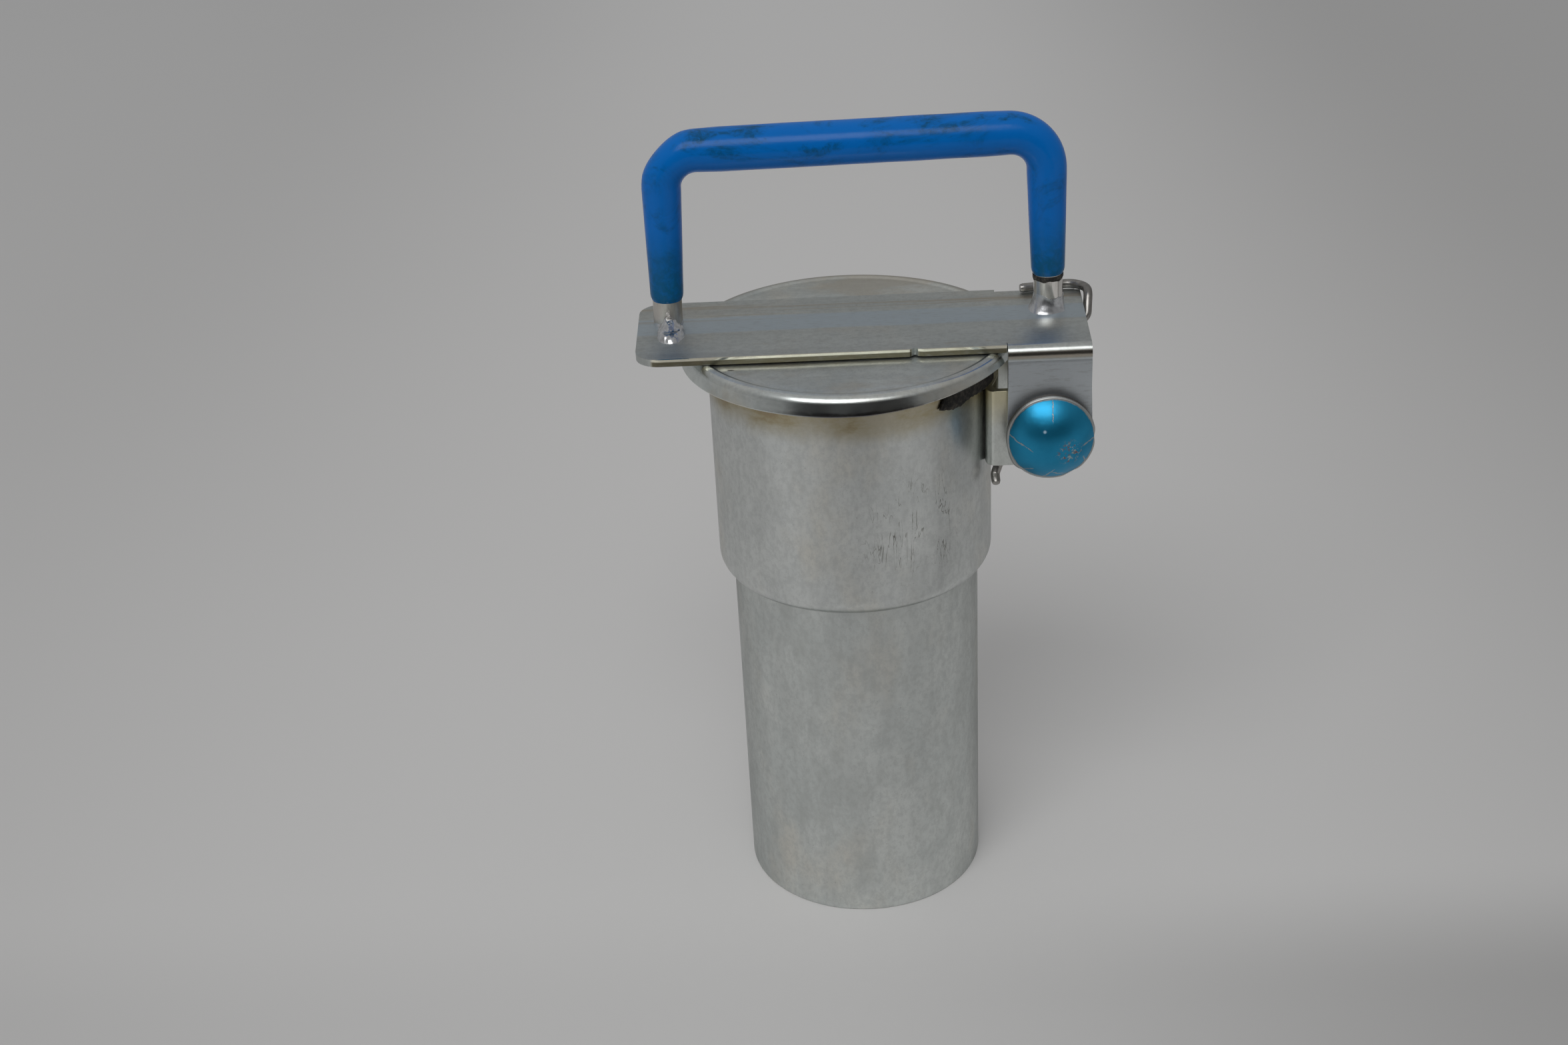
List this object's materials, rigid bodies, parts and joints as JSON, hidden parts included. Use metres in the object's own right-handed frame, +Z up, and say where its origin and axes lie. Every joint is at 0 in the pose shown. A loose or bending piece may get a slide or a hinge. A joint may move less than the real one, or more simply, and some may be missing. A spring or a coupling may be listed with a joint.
{
  "type": "flint spark lighter",
  "caption": "Stepped zinc-plated lighter cup with a spring-closed hinged lid; lifting the vinyl-coated bail handle opens the lid and drags a flint along a file inside.",
  "frame": {"origin": "axis of the lower tube at its bottom edge, on the surface it stands on", "axes": "+Z up along the tube, +X along the cross bar towards the hinge, -Y towards the front"},
  "size_m": [0.1251, 0.093, 0.2281],
  "materials": {
    "zinc_tube": "mottled zinc plate, satin",
    "zinc_sleeve": "zinc plate with a yellow chromate tint at the top",
    "zinc_lid": "zinc plate, satin",
    "zinc_bar": "zinc plate with rolling streaks along the bar",
    "zinc_plate": "zinc plate, faintly yellow",
    "braze": "dull braze metal",
    "weld_metal": "bright plated weld",
    "hard_steel": "dark file steel",
    "rivet_steel": "bright steel",
    "spring_wire": "plated spring wire",
    "spring_strip": "blued spring strip",
    "black_rubber": "matte black",
    "flint": "dark sintered flint",
    "pin_steel": "turned steel",
    "washer_steel": "plated spring steel",
    "blue_cap": "cracked metallic blue coating",
    "bright_rod": "bright plated rod",
    "blue_vinyl": "dipped vinyl, semi-gloss, smudged"
  },
  "bodies": {
    "tube": {"lower_tube": "zinc_tube", "upper_sleeve": "zinc_sleeve", "neck_braze_ring": "braze", "hinge_bracket": "zinc_plate", "bracket_welds": "weld_metal", "striker_file": "hard_steel", "file_seat": "zinc_plate", "file_rivets": "rivet_steel", "return_spring": "spring_wire"},
    "lid_assembly": {"lid": "zinc_lid", "lid_gasket": "black_rubber", "flint_arm": "spring_strip", "flint_arm_rivets": "rivet_steel", "flint_cup": "rivet_steel", "flint": "flint", "flint_screw": "rivet_steel", "cross_bar": "zinc_bar", "bar_weld_spots": "weld_metal", "hinge_pin": "pin_steel", "pin_washer_front": "washer_steel", "pin_washer_rear": "washer_steel", "pin_dome_front": "blue_cap", "pin_dome_rear": "blue_cap", "handle_rod": "bright_rod", "handle_grip": "blue_vinyl", "handle_weld_left": "weld_metal", "handle_weld_right": "weld_metal"}
  },
  "joints": [
    {"name": "lid_hinge", "type": "hinge", "parent": "tube", "child": "lid_assembly", "pos_m": [0.05295, 0, 0.1475], "axis": [0, 1, 0], "range_deg": [0, 100], "stiffness_Nm_per_rad": 0.35, "springref_deg": -40.11, "deforming": ["return_spring"]}
  ]
}
